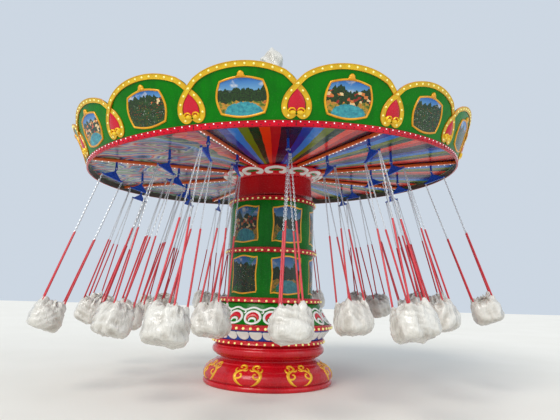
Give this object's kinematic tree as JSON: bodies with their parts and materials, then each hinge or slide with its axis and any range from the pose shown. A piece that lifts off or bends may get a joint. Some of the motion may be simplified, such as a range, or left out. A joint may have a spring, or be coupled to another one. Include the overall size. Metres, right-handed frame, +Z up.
{
  "type": "chair swing ride",
  "caption": "Fairground flying-chair ride: round decorated column on a moulded plinth, leaning spinning canopy with scalloped boards and wrapped chairs on chains.",
  "frame": {"origin": "centre of the plinth's underside, on the ground", "axes": "+Z up the fixed column; -Y towards the viewer of the picture; +X to that viewer's right"},
  "size_m": [8.289, 8.2866, 7.0965],
  "materials": {
    "red_gloss": "gloss",
    "crimson": "gloss",
    "green_gloss": "gloss",
    "white_gloss": "gloss",
    "orange_red": "gloss",
    "royal_blue": "gloss",
    "striped_lining": "gloss",
    "white_wrap": "crinkled",
    "roof_sheet": "gloss"
  },
  "bodies": {
    "column": {"base_plinth": "red_gloss", "base_rail": "red_gloss", "petal_skirt": "white_gloss", "waist_rail": "red_gloss", "scroll_band": "green_gloss", "band_rail": "red_gloss", "lower_tier": "green_gloss", "middle_rail": "red_gloss", "upper_tier": "green_gloss", "top_rail": "red_gloss", "bearing_seat": "crimson"},
    "canopy": {"crown_drum": "crimson", "crown_cornice": "red_gloss", "sweep_arm_1": "orange_red", "sweep_arm_2": "orange_red", "sweep_arm_3": "orange_red", "sweep_arm_4": "orange_red", "sweep_arm_5": "orange_red", "sweep_arm_6": "orange_red", "sweep_arm_7": "orange_red", "sweep_arm_8": "orange_red", "middle_fork_1": "royal_blue", "middle_fork_2": "royal_blue", "middle_fork_3": "royal_blue", "middle_fork_4": "royal_blue", "middle_fork_5": "royal_blue", "middle_fork_6": "royal_blue", "middle_fork_7": "royal_blue", "middle_fork_8": "royal_blue", "ceiling_lining": "striped_lining", "rim_rail": "crimson", "rounding_boards": "green_gloss", "roof_cone": "roof_sheet", "finial_cover": "white_wrap"},
    "outer_chair_1": {"outer_chair_1": "white_wrap"},
    "outer_chair_2": {"outer_chair_2": "white_wrap"},
    "outer_chair_3": {"outer_chair_3": "white_wrap"},
    "outer_chair_4": {"outer_chair_4": "white_wrap"},
    "outer_chair_5": {"outer_chair_5": "white_wrap"},
    "outer_chair_6": {"outer_chair_6": "white_wrap"},
    "outer_chair_7": {"outer_chair_7": "white_wrap"},
    "outer_chair_8": {"outer_chair_8": "white_wrap"},
    "middle_chair_1": {"middle_chair_1": "white_wrap"},
    "middle_chair_2": {"middle_chair_2": "white_wrap"},
    "middle_chair_3": {"middle_chair_3": "white_wrap"},
    "middle_chair_4": {"middle_chair_4": "white_wrap"},
    "middle_chair_5": {"middle_chair_5": "white_wrap"},
    "middle_chair_6": {"middle_chair_6": "white_wrap"},
    "middle_chair_7": {"middle_chair_7": "white_wrap"},
    "middle_chair_8": {"middle_chair_8": "white_wrap"},
    "inner_chair_1": {"inner_chair_1": "white_wrap"},
    "inner_chair_2": {"inner_chair_2": "white_wrap"},
    "inner_chair_3": {"inner_chair_3": "white_wrap"},
    "inner_chair_4": {"inner_chair_4": "white_wrap"},
    "inner_chair_5": {"inner_chair_5": "white_wrap"},
    "inner_chair_6": {"inner_chair_6": "white_wrap"},
    "inner_chair_7": {"inner_chair_7": "white_wrap"},
    "inner_chair_8": {"inner_chair_8": "white_wrap"}
  },
  "joints": [
    {"name": "canopy_spin", "type": "hinge", "parent": "column", "child": "canopy", "pos_m": [0.01954, 0.01954, 3.6208], "axis": [-0.0407, -0.0407, 0.9983], "continuous": true},
    {"name": "outer_chair_1_swing", "type": "hinge", "parent": "canopy", "child": "outer_chair_1", "pos_m": [-1.00876, -3.02802, 3.85528], "axis": [-0.9478, 0.3178, -0.0257], "range_deg": [-19, 12]},
    {"name": "outer_chair_2_swing", "type": "hinge", "parent": "canopy", "child": "outer_chair_2", "pos_m": [1.43228, -2.85934, 3.96168], "axis": [-0.8938, -0.4451, -0.0546], "range_deg": [-19, 12]},
    {"name": "outer_chair_3_swing", "type": "hinge", "parent": "canopy", "child": "outer_chair_3", "pos_m": [3.03622, -1.01379, 4.10232], "axis": [-0.3163, -0.9473, -0.0515], "range_deg": [-19, 12]},
    {"name": "outer_chair_4_swing", "type": "hinge", "parent": "canopy", "child": "outer_chair_4", "pos_m": [2.86349, 1.42753, 4.19482], "axis": [0.4466, -0.8946, -0.0183], "range_deg": [-19, 12]},
    {"name": "outer_chair_5_swing", "type": "hinge", "parent": "canopy", "child": "outer_chair_5", "pos_m": [1.01527, 3.03453, 4.18498], "axis": [0.9478, -0.3178, 0.0257], "range_deg": [-19, 12]},
    {"name": "outer_chair_6_swing", "type": "hinge", "parent": "canopy", "child": "outer_chair_6", "pos_m": [-1.42577, 2.86586, 4.07858], "axis": [0.8938, 0.4451, 0.0546], "range_deg": [-19, 12]},
    {"name": "outer_chair_7_swing", "type": "hinge", "parent": "canopy", "child": "outer_chair_7", "pos_m": [-3.0297, 1.02031, 3.93794], "axis": [0.3163, 0.9473, 0.0515], "range_deg": [-19, 12]},
    {"name": "outer_chair_8_swing", "type": "hinge", "parent": "canopy", "child": "outer_chair_8", "pos_m": [-2.85697, -1.42102, 3.84545], "axis": [-0.4466, 0.8946, 0.0183], "range_deg": [-19, 12]},
    {"name": "middle_chair_1_swing", "type": "hinge", "parent": "canopy", "child": "middle_chair_1", "pos_m": [0.19509, -2.70803, 3.91741], "axis": [-0.9967, -0.0689, -0.0434], "range_deg": [-17.4, 12]},
    {"name": "middle_chair_2_swing", "type": "hinge", "parent": "canopy", "child": "middle_chair_2", "pos_m": [2.05584, -1.78145, 4.03106], "axis": [-0.6549, -0.7535, -0.0574], "range_deg": [-17.4, 12]},
    {"name": "middle_chair_3_swing", "type": "hinge", "parent": "canopy", "child": "middle_chair_3", "pos_m": [2.71422, 0.19059, 4.1383], "axis": [0.0705, -0.9968, -0.0378], "range_deg": [-17.4, 12]},
    {"name": "middle_chair_4_swing", "type": "hinge", "parent": "canopy", "child": "middle_chair_4", "pos_m": [1.78455, 2.05288, 4.17633], "axis": [0.7546, -0.6561, 0.004], "range_deg": [-17.4, 12]},
    {"name": "middle_chair_5_swing", "type": "hinge", "parent": "canopy", "child": "middle_chair_5", "pos_m": [-0.18857, 2.71454, 4.12286], "axis": [0.9967, 0.0689, 0.0434], "range_deg": [-17.4, 12]},
    {"name": "middle_chair_6_swing", "type": "hinge", "parent": "canopy", "child": "middle_chair_6", "pos_m": [-2.04933, 1.78796, 4.00921], "axis": [0.6549, 0.7535, 0.0574], "range_deg": [-17.4, 12]},
    {"name": "middle_chair_7_swing", "type": "hinge", "parent": "canopy", "child": "middle_chair_7", "pos_m": [-2.70771, -0.18407, 3.90197], "axis": [-0.0705, 0.9968, 0.0378], "range_deg": [-17.4, 12]},
    {"name": "middle_chair_8_swing", "type": "hinge", "parent": "canopy", "child": "middle_chair_8", "pos_m": [-1.77804, -2.04637, 3.86394], "axis": [-0.7546, 0.6561, -0.004], "range_deg": [-17.4, 12]},
    {"name": "inner_chair_1_swing", "type": "hinge", "parent": "canopy", "child": "inner_chair_1", "pos_m": [-0.64507, -1.93866, 3.91452], "axis": [-0.9478, 0.3178, -0.0257], "range_deg": [-15.84, 10.01]},
    {"name": "inner_chair_2_swing", "type": "hinge", "parent": "canopy", "child": "inner_chair_2", "pos_m": [0.91873, -1.8306, 3.98269], "axis": [-0.8938, -0.4451, -0.0546], "range_deg": [-15.84, 10.01]},
    {"name": "inner_chair_3_swing", "type": "hinge", "parent": "canopy", "child": "inner_chair_3", "pos_m": [1.94625, -0.64829, 4.07279], "axis": [-0.3163, -0.9473, -0.0515], "range_deg": [-15.84, 10.01]},
    {"name": "inner_chair_4_swing", "type": "hinge", "parent": "canopy", "child": "inner_chair_4", "pos_m": [1.83559, 0.91568, 4.13204], "axis": [0.4466, -0.8946, -0.0183], "range_deg": [-15.84, 10.01]},
    {"name": "inner_chair_5_swing", "type": "hinge", "parent": "canopy", "child": "inner_chair_5", "pos_m": [0.65158, 1.94517, 4.12574], "axis": [0.9478, -0.3178, 0.0257], "range_deg": [-15.84, 10.01]},
    {"name": "inner_chair_6_swing", "type": "hinge", "parent": "canopy", "child": "inner_chair_6", "pos_m": [-0.91221, 1.83711, 4.05758], "axis": [0.8938, 0.4451, 0.0546], "range_deg": [-15.84, 10.01]},
    {"name": "inner_chair_7_swing", "type": "hinge", "parent": "canopy", "child": "inner_chair_7", "pos_m": [-1.93973, 0.6548, 3.96748], "axis": [0.3163, 0.9473, 0.0515], "range_deg": [-15.84, 10.01]},
    {"name": "inner_chair_8_swing", "type": "hinge", "parent": "canopy", "child": "inner_chair_8", "pos_m": [-1.82908, -0.90917, 3.90822], "axis": [-0.4466, 0.8946, 0.0183], "range_deg": [-15.84, 10.01]}
  ],
  "couplings": [
    {"joint": "inner_chair_1_swing", "follows": "outer_chair_1_swing", "ratio": 0.8333},
    {"joint": "inner_chair_2_swing", "follows": "outer_chair_2_swing", "ratio": 0.8333},
    {"joint": "inner_chair_3_swing", "follows": "outer_chair_3_swing", "ratio": 0.8333},
    {"joint": "inner_chair_4_swing", "follows": "outer_chair_4_swing", "ratio": 0.8333},
    {"joint": "inner_chair_5_swing", "follows": "outer_chair_5_swing", "ratio": 0.8333},
    {"joint": "inner_chair_6_swing", "follows": "outer_chair_6_swing", "ratio": 0.8333},
    {"joint": "inner_chair_7_swing", "follows": "outer_chair_7_swing", "ratio": 0.8333},
    {"joint": "inner_chair_8_swing", "follows": "outer_chair_8_swing", "ratio": 0.8333}
  ]
}
